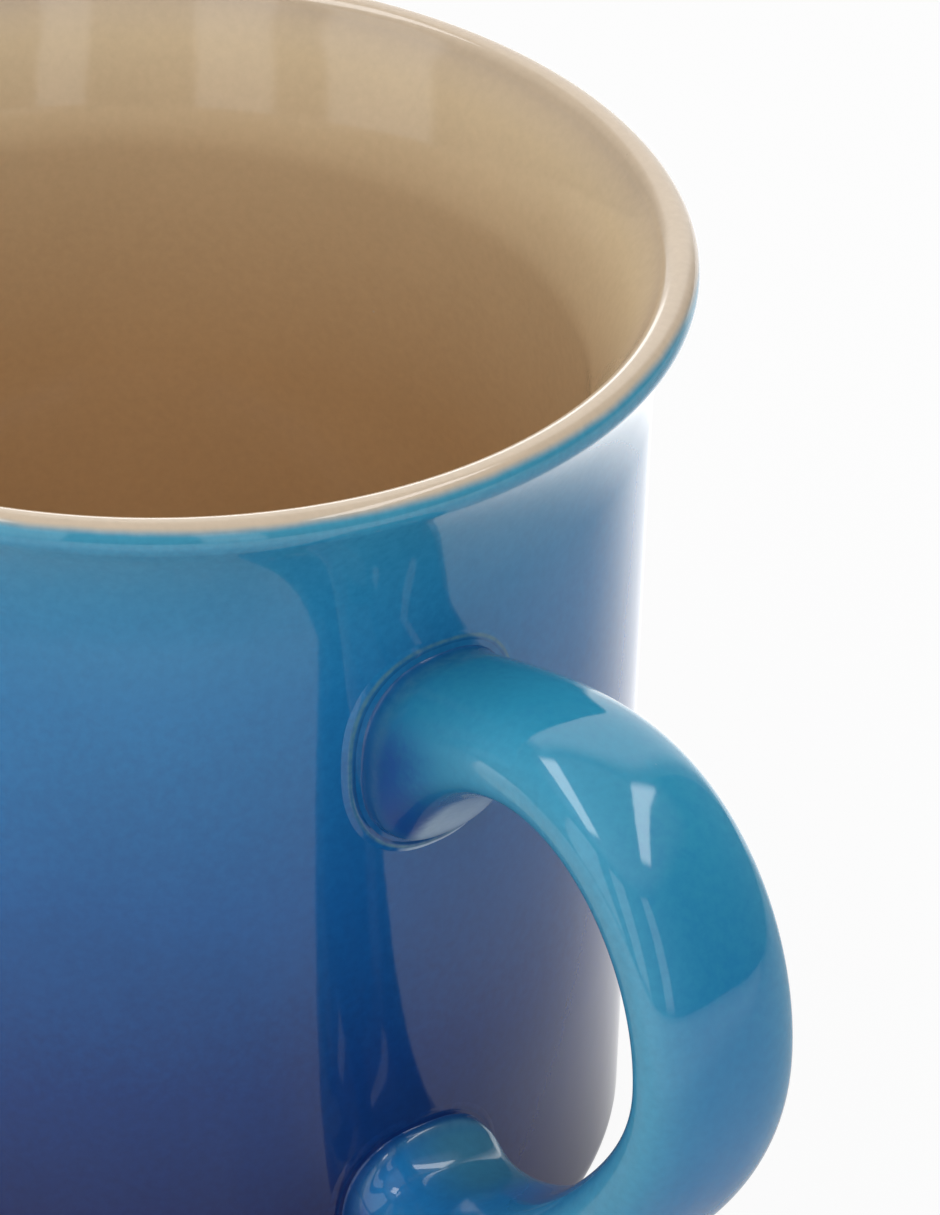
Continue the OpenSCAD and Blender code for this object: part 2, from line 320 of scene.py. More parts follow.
def strap_edge(top_z, low_z, belly, rise, pull):
    """One edge of the strap: two cubic curves, from the upper root to the belly and on to the lower."""
    top, low, belly = np.array([END_UP, top_z]), np.array([END_LOW, low_z]), np.array(belly)
    a, b = np.radians(rise)
    lift = np.array([0, 1.0])
    up = [top, top + pull[0] * np.array([np.cos(a), np.sin(a)]), belly + pull[1] * lift, belly]
    down = [belly, belly - pull[2] * lift, low + pull[3] * np.array([np.cos(b), np.sin(b)]), low]
    t = np.linspace(0, 1, STRAP_STEPS)
    return np.vstack([bezier(up, t), bezier(down, t)[1:]])


def strap_rings():
    """The middle between the two edges, half the gap between them, and half the strap's width."""
    outer = strap_edge(
        UPPER_Z + UPPER_H / 2, LOWER_Z - LOWER_H / 2, (BELLY_X, BELLY_Z), OUTER_RISE, OUTER_PULL
    )
    inner = strap_edge(
        UPPER_Z - UPPER_H / 2, LOWER_Z + LOWER_H / 2, (BELLY_X - STRAP_T, BELLY_Z), INNER_RISE, INNER_PULL
    )
    share = np.linspace(0, 1, len(outer))
    root_w = np.where(share < 0.5, UPPER_W, LOWER_W)
    half_w = (STRAP_W + (root_w - STRAP_W) * np.abs(2 * share - 1) ** WIDEN_POWER) / 2
    return (outer + inner) / 2, (outer - inner) / 2, half_w


strap_mid, strap_half, strap_side = strap_rings()
print("strap sections:", len(strap_mid))

# %% [markdown]
# ## The roots
# Seen close, each root has three forms side by side: the wall swells into a
# low bead, the bead drops into a narrow groove, and the strap comes out of the
# groove with a small shoulder of its own. Their section is a short list of
# steps, each a distance from the strap and a height over the wall, and a smooth
# curve through the rings softens them as molten glaze does.

# %% The roots' rings
UPPER_BEAD, LOWER_BEAD = (2.2 * MM, 0.17 * MM), (1.6 * MM, 0.12 * MM)  # width and height
BEAD_LEAN, FAR_LEAN = 0.32, 1.2
FAR_FLAT, FLAT_SIDE, FLAT_TOP = 0.8, 0.7, 0.4
LOWER_BREAK = 0.4
# shares of the bead's width and height, then of pale break, pooled glaze and strap colour
ROOT_STEPS = np.array([
    [1.75, -1.60, 0.0, 0.0, 0.0],
    [1.50, -0.80, 0.0, 0.0, 0.0],
    [1.30, -0.10, 0.0, 0.0, 0.0],
    [1.12, 0.35, 0.1, 0.0, 0.0],
    [0.96, 0.80, 0.5, 0.0, 0.0],
    [0.82, 1.00, 1.0, 0.0, 0.0],
    [0.68, 0.85, 0.5, 0.1, 0.0],
    [0.48, 0.00, 0.0, 0.5, 0.1],
    [0.26, -0.60, 0.0, 0.9, 0.2],
    [0.06, 0.00, 0.1, 0.8, 0.3],
])
# growth of the strap's first rings in millimetres, then the same three shares on them
SHOULDER = np.array([[0.16, 0.7, 0.3, 0.7], [0.10, 0.3, 0.0, 1.0], [0.04, 0.1, 0.0, 1.0]])


def root_rings(z, h, w, bead, turn):
    """Ovals round a root laid on the wall: x from the wall's radius and y, lifted along the radius.

    The slip was pressed out unevenly: the bead's width is scaled by one less a lean times the
    far side's and the underside's share, and its height flattens out on the far side and the top.
    """
    share = 1 - BEAD_LEAN * (1 + SIDE) / 2 * FAR_LEAN - BEAD_LEAN * (1 - turn * RISE) / 2
    flat = 1 - FAR_FLAT * np.clip((1 + SIDE) * FLAT_SIDE + RISE * turn * FLAT_TOP, 0, 1)
    grow = ROOT_STEPS[:, :1] * bead[0] * share
    y = (w / 2 + grow) * SIDE
    up = z + turn * (h / 2 + grow) * RISE
    r = wall_r(up) + ROOT_STEPS[:, 1:2] * bead[1] * np.where(ROOT_STEPS[:, 1:2] > 0, flat, 1)
    return np.stack([np.sqrt(r**2 - y**2), y, up], axis=-1)


def handle_cage():
    """All control rings from wall to wall, and the break, pool and strap shares of each ring.

    A strap ring is its middle plus half the gap times the rise, and its half width times the side.
    """
    grow = np.zeros(len(strap_mid))
    marks = np.tile([0.0, 0.0, 1.0], (len(strap_mid), 1))
    n = len(SHOULDER)
    grow[:n] = SHOULDER[:, 0] * MM
    grow[-n:] = SHOULDER[::-1, 0] * MM
    marks[:n], marks[-n:] = SHOULDER[:, 1:], SHOULDER[::-1, 1:]
    length = np.linalg.norm(strap_half, axis=1)
    up = strap_half * (1 + grow / length)[:, None]
    strap = np.stack([
        strap_mid[:, :1] + up[:, :1] * RISE,
        (strap_side + grow)[:, None] * SIDE,
        strap_mid[:, 1:] + up[:, 1:] * RISE,
    ], axis=-1)
    upper = root_rings(UPPER_Z, UPPER_H, UPPER_W, UPPER_BEAD, 1)
    lower = root_rings(LOWER_Z, LOWER_H, LOWER_W, LOWER_BEAD, -1)[::-1]
    edge = ROOT_STEPS[:, 2:]
    low_edge = edge[::-1] * [LOWER_BREAK, 1, 1]
    return np.concatenate([upper, strap, lower]), np.vstack([edge, marks, low_edge])


cage, cage_marks = handle_cage()
print("control rings:", cage.shape)

# %% [markdown]
# ## A smooth skin through the rings
# A cubic B-spline weighs four neighbouring rings at a time, so the skin has no
# kinks. The coat's underside is the same skin set back along its normals, and
# the two together close into a tube with walls as thick as the glaze.

# %% The handle's coat
SKIN_STEPS = 4


def spline_weights(rings, steps):
    """Uniform cubic B-spline: for each place along the rings, the shares of the four nearest."""
    place = np.linspace(1, rings - 2, (rings - 3) * steps + 1)
    first = np.minimum(place.astype(int), rings - 3) - 1
    t = place - first - 1
    shares = np.stack([(1 - t) ** 3, 3 * t**3 - 6 * t**2 + 4, -3 * t**3 + 3 * t**2 + 3 * t + 1, t**3]) / 6
    weights = np.zeros((len(place), rings))
    for k in range(4):
        weights[np.arange(len(place)), first + k] += shares[k]
    return weights


def skin_normals(skin):
    """Cross product of the steps along and round the skin, at unit length."""
    along = np.gradient(skin, axis=0)
    around = np.roll(skin, -1, axis=1) - np.roll(skin, 1, axis=1)
    normal = np.cross(around, along)
    return normal / np.linalg.norm(normal, axis=-1, keepdims=True)


weights = spline_weights(len(cage), SKIN_STEPS)
skin = np.einsum("ij,jkl->ikl", weights, cage)
skin_marks = weights @ cage_marks
normals = skin_normals(skin)
outward = np.sign(np.mean(normals[len(skin) // 2, :, 1] * SIDE))
normals *= outward
under_skin = (skin - normals * GLAZE_T)[::-1]
tube = np.concatenate([skin, under_skin]).reshape(-1, 3)
tube_faces = grid_faces(2 * len(skin), ROUND, True)
if outward < 0:
    tube_faces = tube_faces[:, ::-1]
handle_coat = new_mesh("handle_coat", tube, tube_faces.tolist())

# %% [markdown]
# ## Marks for the handle's finish
# The glaze isn't even on the handle: it pools in the grooves and breaks over the
# beads. Light and shade are painted in with it: paler light on the strap's two
# edges, a pale reflection in the hollow under the upper root, and shade with a
# deeper glaze on the undersides beside the roots. You could paint that by hand in
# Vertex Paint. Here the skin's own places and normals tell where it happens, as
# one number per point each.

# %% Marks for the handle's finish
# the undersides beside the roots, darkened by a deeper glaze and painted shade: their reach from the wall,
# how fast they deepen and the most they do
UNDER_REACH, UNDER_GAIN, UNDER_MOST = 17 * MM, 0.62, 0.6
EDGE_LIGHT_POWER = 3  # the higher, the narrower the painted light on the strap's edges
HALF_Z = 45 * MM  # the upper root's half of the strap lies above this height
# the hollow under the upper root, paled by a painted reflection of the table: how far it looks down, its
# middle and half width, its reach, the fades
HOLLOW_FACING = (0.05, 0.45)
HOLLOW_Y, HOLLOW_HALF, HOLLOW_SIDE_FADE = 2 * MM, 8 * MM, 4 * MM
HOLLOW_REACH, HOLLOW_END_FADE = 12 * MM, 6 * MM
# the top of the lower root: how far it looks up, its reach and fade, and where it starts across the strap
LOW_TOP_FACING = (0.2, 0.7)
LOW_TOP_REACH, LOW_TOP_END_FADE = 14 * MM, 7 * MM
LOW_TOP_Y = (-6 * MM, 2 * MM)


def soft_step(value, low, high):
    """Nought below low, one above high, a smooth cubic between."""
    share = np.clip((value - low) / (high - low), 0, 1)
    return share**2 * (3 - 2 * share)


skin_x, skin_y, skin_z = np.moveaxis(skin, -1, 0)
facing_up = normals[..., 2]
broken, pooled, on_strap = (np.repeat(skin_marks[:, k:k + 1], ROUND, axis=1) for k in range(3))
upper_half = skin_z > HALF_Z
near_wall = np.clip(1 - (skin_x - WALL_TOP_R) / UNDER_REACH, 0, 1)
# painted shade, with a deeper glaze: faces that look down near the wall get darker
down_shade = np.clip(UNDER_GAIN - UNDER_GAIN * facing_up, 0, UNDER_MOST)
# painted reflection: the hollow under the upper root is paled as if it mirrored the bright table
hollow = soft_step(-facing_up, *HOLLOW_FACING) * upper_half
hollow *= soft_step(HOLLOW_HALF - np.abs(skin_y - HOLLOW_Y), 0, HOLLOW_SIDE_FADE)
hollow *= soft_step(WALL_TOP_R + HOLLOW_REACH - skin_x, 0, HOLLOW_END_FADE)
low_top = soft_step(facing_up, *LOW_TOP_FACING) * soft_step(skin_y, *LOW_TOP_Y) * ~upper_half
low_top *= soft_step(WALL_TOP_R + LOW_TOP_REACH - skin_x, 0, LOW_TOP_END_FADE)
handle_marks = {
    "glaze_break": broken,
    "glaze_pool": pooled,
    "strap_share": on_strap,
    "under_root_shade": down_shade * near_wall * on_strap,
    "hollow_reflection": hollow,
    "low_root_top": low_top * on_strap,
    # painted light: the strap's flanks are paled as if lit and mirroring from the side
    "edge_light": np.abs(SIDE) ** EDGE_LIGHT_POWER * (1 - near_wall) * on_strap,
}
for name, values in handle_marks.items():
    mark(handle_coat, name, np.concatenate([values, values[::-1]]))
    print(name, "goes up to %.2f" % values.max())

# %% [markdown]
# ## Places and names
# Each new piece rides on the one body of this part and stands for the CAD solid
# that it was drawn from. The clay strap and the slip under the coat stay as
# they are and only get their finishes.

# %% Places and names
PIECES = {
    clay_cup: ("cup_body", "clay"),
    beige_coat: ("interior_glaze", "beige_glaze"),
    blue_coat: ("exterior_glaze", "blue_glaze"),
    handle_coat: ("handle_glaze", "azure_glaze"),
}
for piece, (node, slot) in PIECES.items():
    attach(piece, "root")
    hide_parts(node)
print("pieces:", [piece.name for piece in PIECES])

# %% [markdown]
# ## Helpers for the finishes
# A finish is a small network of shader nodes. A helper that makes a node, sets
# its plain values and links its inputs keeps each network readable as a list.

# %% Nodes and values
def srgb(r, g, b):
    """A colour given 0 to 255, as the linear values that the shader wants."""
    share = np.array([r, g, b]) / 255
    linear = np.where(share <= 0.04045, share / 12.92, ((share + 0.055) / 1.055) ** 2.4)
    return (*linear.tolist(), 1.0)


def feed(tree, node, links):
    """Links a socket to each named input of a node."""
    for key, source in links.items():
        tree.links.new(source, node.inputs[key])


def add(tree, kind, links=None, **values):
    """A new node: values set its properties or inputs by name, links feed its inputs."""
    node = tree.nodes.new(kind)
    for key, value in values.items():
        if hasattr(node, key):
            setattr(node, key, value)
        else:
            node.inputs[key.replace("_", " ")].default_value = value
    feed(tree, node, links or {})
    return node


def math_node(tree, operation, a, b=None, c=None, clamp=False):
    """One arithmetic step; each operand is a socket or a number."""
    node = tree.nodes.new("ShaderNodeMath")
    node.operation, node.use_clamp = operation, clamp
    for socket, value in zip(node.inputs, (a, b, c)):
        if isinstance(value, (int, float)):
            socket.default_value = value
        elif value is not None:
            tree.links.new(value, socket)
    return node.outputs[0]


def remap(tree, value, low, high, to_low=0.0, to_high=1.0):
    """A soft step: low and high of the value go to to_low and to_high, smoothly between."""
    node = add(tree, "ShaderNodeMapRange", {"Value": value}, interpolation_type="SMOOTHSTEP")
    for name, number in zip(("From Min", "From Max", "To Min", "To Max"), (low, high, to_low, to_high)):
        node.inputs[name].default_value = number
    return node.outputs["Result"]


def object_place(tree):
    """The place on the piece, in metres from the mug's origin."""
    return add(tree, "ShaderNodeTexCoord").outputs["Object"]


def noise(tree, place, scale, detail, roughness=0.5):
    """Cloudy values about 0.5; the scale says how many clouds go to a metre."""
    node = add(tree, "ShaderNodeTexNoise", {"Vector": place}, Scale=scale, Detail=detail, Roughness=roughness)
    return node.outputs["Fac"]


print("mid grey is %.3f for the shader" % srgb(128, 128, 128)[0])

# %% Colours, groups and materials
def blend_colour(tree, share, first, second, mode="MIX"):
    """Mixes two colours by a share; each is a socket or a colour."""
    node = tree.nodes.new("ShaderNodeMix")
    node.data_type, node.blend_type = "RGBA", mode
    for index, value in ((0, share), (6, first), (7, second)):
        if isinstance(value, (tuple, list, int, float)):
            node.inputs[index].default_value = value
        else:
            tree.links.new(value, node.inputs[index])
    return node.outputs[2]


def tint(tree, colour, share, most, paint):
    """Lays a paint over a colour, by a share from 0 to 1 times the most that it may cover."""
    return blend_colour(tree, math_node(tree, "MULTIPLY", share, most), colour, paint)


def ramp(tree, share, stops):
    """A colour ramp with stops given as (place, colour)."""
    node = add(tree, "ShaderNodeValToRGB", {"Fac": share})
    band = node.color_ramp
    while len(band.elements) < len(stops):
        band.elements.new(0.5)
    for element, (place, colour) in zip(band.elements, stops):
        element.position, element.color = place, colour
    return node.outputs["Color"]


def new_group(name, inputs, outputs):
    """An empty shader node group with float inputs (name: default) and named outputs."""
    tree = bpy.data.node_groups.new(name, "ShaderNodeTree")
    for label, default in inputs.items():
        socket = tree.interface.new_socket(label, in_out="INPUT", socket_type="NodeSocketFloat")
        socket.default_value = default
    for label in outputs:
        tree.interface.new_socket(label, in_out="OUTPUT", socket_type="NodeSocketFloat")
    return tree, tree.nodes.new("NodeGroupInput"), tree.nodes.new("NodeGroupOutput")


def bump(tree, height, strength, depth):
    """A normal that leans with the slope of a height."""
    node = add(tree, "ShaderNodeBump", {"Height": height}, Strength=strength, Distance=depth)
    return node.outputs["Normal"]


def new_material(name):
    """A material with a plain Principled shader; returns it, its tree and the shader."""
    material = bpy.data.materials.new(name)
    material.use_nodes = True
    tree = material.node_tree
    return material, tree, tree.nodes["Principled BSDF"]


print("materials so far:", len(bpy.data.materials))

# %% [markdown]
# ## What every fired glaze shows
# However even a glaze looks from afar, it has a faint cloudiness, a skin that
# undulates by hundredths of a millimetre, and the odd dark or pale speck where
# a grain burned out. All three glazes share this, so it is one node group.

# %% Glaze skin group
# each noise: clouds to the metre, detail and, where it isn't plain, roughness
CLOUDS, GRAIN, GRAIN_SHARE = (70.0, 3.0, 0.55), (1100.0, 2.0, 0.6), 0.6
SWELL, PEEL, PEEL_SHARE = (120.0, 1.0), (420.0, 2.0), 0.25
# each kind of speck: cells to the metre, the share of cells without one, and its size in a cell
SPECKS = {"Dark specks": (150.0, 0.90, 0.032), "Pale specks": (190.0, 0.90, 0.03)}
SPECK_EDGE = 0.02


def speck_mask(tree, place, scale, empty, size):
    """Soft dots in a few of the cells of a Voronoi pattern, each with its own size."""
    cells = add(tree, "ShaderNodeTexVoronoi", {"Vector": place}, Scale=scale).outputs
    pick = add(tree, "ShaderNodeSeparateColor", {"Color": cells["Color"]}).outputs
    chosen = remap(tree, pick["Red"], empty, empty + SPECK_EDGE)
    spread = math_node(tree, "MULTIPLY_ADD", pick["Green"], size, size / 2)
    dot = math_node(tree, "SUBTRACT", 1.0, math_node(tree, "DIVIDE", cells["Distance"], spread), clamp=True)
    return math_node(tree, "MULTIPLY", dot, chosen)


def glaze_skin_group():
    """Clouds and fine grain as tones about 0.5, speck masks, and a height for the bump."""
    tree, given, result = new_group(
        "glaze_skin", {"Clouds": 1.0, "Specks": 1.0}, ("Tone", "Dark specks", "Pale specks", "Height")
    )
    place = object_place(tree)
    clouds = noise(tree, place, *CLOUDS)
    grain = noise(tree, place, *GRAIN)
    both = math_node(tree, "MULTIPLY_ADD", grain, GRAIN_SHARE,
                     math_node(tree, "MULTIPLY", clouds, 1 - GRAIN_SHARE))
    swing = math_node(tree, "MULTIPLY", math_node(tree, "SUBTRACT", both, 0.5), given.outputs["Clouds"])
    swell = noise(tree, place, *SWELL)
    peel = noise(tree, place, *PEEL)
    height = math_node(tree, "MULTIPLY_ADD", peel, PEEL_SHARE, swell)
    feed(tree, result, {"Tone": math_node(tree, "ADD", swing, 0.5), "Height": height})
    for label, kind in SPECKS.items():
        spot = math_node(tree, "MULTIPLY", speck_mask(tree, place, *kind), given.outputs["Specks"])
        feed(tree, result, {label: spot})
    return tree


glaze_skin = glaze_skin_group()
print("group:", glaze_skin.name, [item.name for item in glaze_skin.interface.items_tree])

# %% [markdown]
# ## The soft border
# The mask that both coats use on the lip: nought on the beige side, one on the
# blue side, with a wavering edge about a millimetre wide.

# %% Border group
BORDER_WAVER, WAVER_NOISE = 0.6 * MM, (110.0, 3.0, 0.6)
BORDER_FROM, BORDER_TO = -0.5 * MM, 0.6 * MM


def border_group():
    """A soft step of the way from the border, shifted by noise round the rim."""
    tree, given, result = new_group("lip_border", {"Way": 0.0, "Waver": BORDER_WAVER}, ("Blue",))
    wide = math_node(tree, "SUBTRACT", noise(tree, object_place(tree), *WAVER_NOISE), 0.5)
    way = math_node(tree, "MULTIPLY_ADD", wide, given.outputs["Waver"], given.outputs["Way"])
    feed(tree, result, {"Blue": remap(tree, way, BORDER_FROM, BORDER_TO)})
    return tree


def border_mask(tree):
    """The lip border's mask from the points' way attribute, and the way itself."""
    way = add(tree, "ShaderNodeAttribute", attribute_name="rim_way").outputs["Fac"]
    return add(tree, "ShaderNodeGroup", {"Way": way}, node_tree=lip_border).outputs["Blue"], way


lip_border = border_group()
print("group:", lip_border.name)

# %% [markdown]
# ## A coat of glaze
# Every glaze here is the same glassy coat over another colour. Its gloss comes
# from the refractive index of fired glass, and the shared skin gives it tone,
# specks and an uneven surface. Only the colour below differs from coat to coat.

# %% A coat of glaze
GLAZE_IOR, SKIN_DEPTH = 1.6, 0.4 * MM
TONE_RANGE, TONE_SWING, ROUGH_SWING = (0.2, 0.8), 0.08, 0.3
DARK_SPECK, DARK_MOST = srgb(20, 28, 48), 0.8
PALE_SPECK, PALE_MOST = srgb(170, 190, 200), 0.5


def skin_nodes(tree, clouds, specks):
    """Places the shared glaze skin in a material."""
    return add(tree, "ShaderNodeGroup", node_tree=glaze_skin, Clouds=clouds, Specks=specks).outputs


def cloud_drift(tree, skin, amount):
    """The clouds as a small number about nought, to nudge a height or a share with."""
    return math_node(tree, "MULTIPLY", math_node(tree, "SUBTRACT", skin["Tone"], 0.5), amount)


def height_share(tree, drift=0.0):
    """Height over the table as a share of the cup's height, plus a drift."""
    place = add(tree, "ShaderNodeSeparateXYZ", {"Vector": object_place(tree)})
    return math_node(tree, "MULTIPLY_ADD", place.outputs["Z"], 1 / CUP_H, drift)


def finish_glaze(tree, shader, colour, skin, rough, wavy):
    """Tone, specks, roughness and bump that every glaze gets, on top of its colour."""
    shade = remap(tree, skin["Tone"], *TONE_RANGE, 1 - TONE_SWING, 1 + TONE_SWING)
    grey = add(tree, "ShaderNodeCombineColor", {"Red": shade, "Green": shade, "Blue": shade})
    colour = blend_colour(tree, 1.0, colour, grey.outputs["Color"], "MULTIPLY")
    colour = tint(tree, colour, skin["Dark specks"], DARK_MOST, DARK_SPECK)
    colour = tint(tree, colour, skin["Pale specks"], PALE_MOST, PALE_SPECK)
    gloss = remap(tree, skin["Tone"], *TONE_RANGE, rough * (1 - ROUGH_SWING), rough * (1 + ROUGH_SWING))
    normal = bump(tree, skin["Height"], wavy, SKIN_DEPTH)
    feed(tree, shader, {"Base Color": colour, "Roughness": gloss, "Normal": normal})
    shader.inputs["IOR"].default_value = GLAZE_IOR


print("glaze index:", GLAZE_IOR)

# %% [markdown]
# ## The blue ombre of the wall
# The outside runs from azure under the rim to a deep violet blue at the base.
# A ramp over the height gives it, nudged by the clouds so that no level line
# shows, with specks on top and the border's beige blended in at the lip.

# %% Blue glaze
BEIGE_LIP = srgb(193, 175, 153)
AZURE_EDGE = srgb(66, 148, 176)
BLUE_STOPS = (
    (0.00, srgb(18, 18, 70)),
    (0.14, srgb(18, 30, 88)),
    (0.34, srgb(20, 58, 122)),
    (0.55, srgb(24, 91, 155)),
    (0.78, srgb(33, 120, 176)),
    (0.89, srgb(44, 135, 182)),
    (0.96, srgb(56, 142, 182)),
    (1.00, srgb(64, 148, 184)),
)
BLUE_DRIFT, BLUE_ROUGH, BLUE_BUMP = 0.10, 0.06, 0.06
EDGE_FROM, EDGE_TO, EDGE_MOST = 0.3 * MM, 2.2 * MM, 0.8


def blue_glaze_material():
    """Height over the table to a ramp of blues, with beige let in at the lip."""
    material, tree, shader = new_material("blue_glaze")
    skin = skin_nodes(tree, 1.0, 1.0)
    blue = ramp(tree, height_share(tree, cloud_drift(tree, skin, BLUE_DRIFT)), BLUE_STOPS)
    mask, way = border_mask(tree)
    blue = tint(tree, blue, remap(tree, way, EDGE_FROM, EDGE_TO, 1.0, 0.0), EDGE_MOST, AZURE_EDGE)
    colour = blend_colour(tree, mask, BEIGE_LIP, blue)
    finish_glaze(tree, shader, colour, skin, BLUE_ROUGH, BLUE_BUMP)
    return material


blue_coat.data.materials.append(blue_glaze_material())
print("blue glaze:", len(BLUE_STOPS), "stops")

# %% [markdown]
# ## The beige inside
# The inside is a warm beige that looks browner down the cup, mostly because the
# walls light one another there. It is a little paler on the lip, where the coat
# has thinned over the edge.

# %% Beige glaze
BEIGE_DEEP = srgb(194, 160, 118)
BEIGE_TOP = srgb(206, 184, 150)
BEIGE_STOPS = ((0.0, BEIGE_DEEP), (0.6, BEIGE_DEEP), (0.95, BEIGE_TOP), (1.0, BEIGE_LIP))
BEIGE_CLOUDS, BEIGE_SPECKS, BEIGE_ROUGH, BEIGE_BUMP = 0.6, 0.6, 0.08, 0.05
LIP_FROM, LIP_TO = -3.6 * MM, -1.5 * MM


def beige_glaze_material():
    """Beige that pales towards the rim, with the border's blue let in at the lip."""
    material, tree, shader = new_material("beige_glaze")
    skin = skin_nodes(tree, BEIGE_CLOUDS, BEIGE_SPECKS)
    beige = ramp(tree, height_share(tree), BEIGE_STOPS)
    mask, way = border_mask(tree)
    beige = blend_colour(tree, remap(tree, way, LIP_FROM, LIP_TO), beige, BEIGE_LIP)
    colour = blend_colour(tree, mask, beige, AZURE_EDGE)
    finish_glaze(tree, shader, colour, skin, BEIGE_ROUGH, BEIGE_BUMP)
    return material


beige_coat.data.materials.append(beige_glaze_material())
print("beige glaze:", len(BEIGE_STOPS), "stops")

# %% [markdown]
# ## The azure handle
# The handle's glaze is lighter than the wall's: teal on top, bluer low down,
# paled by painted light on the strap's edges, a deeper blue with painted shade
# beside its roots and a dull teal on top of the lower one. A pale painted
# reflection of the table lies in the hollow under the upper root. The glaze has
# broken to a pale olive line on the bead and on the shoulder, and pooled dark between.

# %% Azure glaze
AZURE_STOPS = (
    (0.00, srgb(30, 108, 174)),
    (0.35, srgb(30, 120, 182)),
    (0.62, srgb(32, 126, 176)),
    (0.82, srgb(42, 132, 164)),
)
AZURE_DRIFT, AZURE_ROUGH, AZURE_BUMP = 0.3, 0.06, 0.06
# painted light paling the strap's flanks
EDGE_LIGHT_AZURE, EDGE_LIGHT_MOST = srgb(78, 160, 192), 0.9
# painted shade, partly a deeper glaze, on the strap's undersides beside the roots
UNDER_SHADE_BLUE, UNDER_STEP, UNDER_COVER = srgb(26, 64, 142), (0.16, 0.50), 0.85
# a painted reflection of the bright table in the hollow under the upper root
PALE_REFLECTION, HOLLOW_STEP, HOLLOW_MOST = srgb(186, 210, 226), (0.1, 0.9), 0.9
LOW_TEAL, LOW_TEAL_MOST = srgb(62, 120, 136), 0.7
POOL_BLUE, POOL_MOST = srgb(20, 62, 126), 0.85
BREAK_OLIVE, BREAK_STEP = srgb(96, 140, 146), (0.35, 0.95)
BREAK_TONES, BREAK_COVERS = (0.35, 0.6), (0.35, 0.8)


def azure_glaze_material():
    """Height to a ramp of azures, then the handle's marks one by one as paints over it."""
    material, tree, shader = new_material("azure_glaze")
    skin = skin_nodes(tree, 1.0, 1.0)
    drift = cloud_drift(tree, skin, AZURE_DRIFT)
    height = height_share(tree, drift)
    share = {
        name: add(tree, "ShaderNodeAttribute", attribute_name=name).outputs["Fac"] for name in handle_marks
    }
    wall, strap = ramp(tree, height, BLUE_STOPS), ramp(tree, height, AZURE_STOPS)
    colour = blend_colour(tree, share["strap_share"], wall, strap)
    # painted light on the strap's flanks
    colour = tint(tree, colour, share["edge_light"], EDGE_LIGHT_MOST, EDGE_LIGHT_AZURE)
    # painted shade, partly a deeper glaze, under the strap beside the roots
    shaded = remap(tree, math_node(tree, "ADD", share["under_root_shade"], drift), *UNDER_STEP)
    colour = tint(tree, colour, shaded, UNDER_COVER, UNDER_SHADE_BLUE)
    # painted reflection of the table in the hollow under the upper root
    mirrored_table = remap(tree, math_node(tree, "ADD", share["hollow_reflection"], drift), *HOLLOW_STEP)
    colour = tint(tree, colour, mirrored_table, HOLLOW_MOST, PALE_REFLECTION)
    colour = tint(tree, colour, share["low_root_top"], LOW_TEAL_MOST, LOW_TEAL)
    colour = tint(tree, colour, share["glaze_pool"], POOL_MOST, POOL_BLUE)
    line = remap(tree, share["glaze_break"], *BREAK_STEP)
    uneven = remap(tree, skin["Tone"], *BREAK_TONES, *BREAK_COVERS)
    colour = tint(tree, colour, line, uneven, BREAK_OLIVE)
    finish_glaze(tree, shader, colour, skin, AZURE_ROUGH, AZURE_BUMP)
    return material


handle_coat.data.materials.append(azure_glaze_material())
print("azure glaze:", len(AZURE_STOPS), "stops and", len(handle_marks), "marks")

# %% [markdown]
# ## Bare clay and slip
# The standing ring is wiped clean of glaze before firing, so fired clay shows
# there: sandy, matt and speckled with iron. The strap's clay and the slip pads
# lie under the coat and get the same grain, so one node group serves them all.

# %% Bare clay and slip
SAND, PATCHES = (900.0, 4.0, 0.7), (60.0, 3.0)
IRON_SCALE, IRON_DOT, IRON_PICK = 420.0, 0.16, (0.82, 0.86)
IRON_BROWN, IRON_MOST = srgb(92, 66, 46), 0.6
CLAY_TONES, MATT_TONES, MATT_RISE = (0.35, 0.65), (0.3, 0.7), 0.15
GRIT_BUMP, GRIT_DEPTH = 0.5, 0.2 * MM
CLAY_PALE, CLAY_DARK, CLAY_MATT = srgb(222, 205, 176), srgb(196, 174, 142), 0.7
SLIP_PALE, SLIP_DARK, SLIP_MATT = srgb(208, 190, 160), srgb(184, 162, 132), 0.75


def clay_grain_group():
    """Sand grains and iron specks for unglazed clay: a tone, a speck mask and a height."""
    tree, given, result = new_group("clay_grain", {"Coarse": 1.0}, ("Tone", "Iron", "Height"))
    place = object_place(tree)
    sand = noise(tree, place, *SAND)
    patches = noise(tree, place, *PATCHES)
    tone = math_node(tree, "MULTIPLY", math_node(tree, "ADD", sand, patches), 0.5)
    cells = add(tree, "ShaderNodeTexVoronoi", {"Vector": place}, Scale=IRON_SCALE).outputs
    pick = add(tree, "ShaderNodeSeparateColor", {"Color": cells["Color"]}).outputs
    dot = math_node(tree, "LESS_THAN", cells["Distance"], IRON_DOT)
    iron = math_node(tree, "MULTIPLY", dot, remap(tree, pick["Red"], *IRON_PICK))
    grit = math_node(tree, "MULTIPLY", sand, given.outputs["Coarse"])
    feed(tree, result, {"Tone": tone, "Iron": iron, "Height": grit})
    return tree


clay_grain = clay_grain_group()


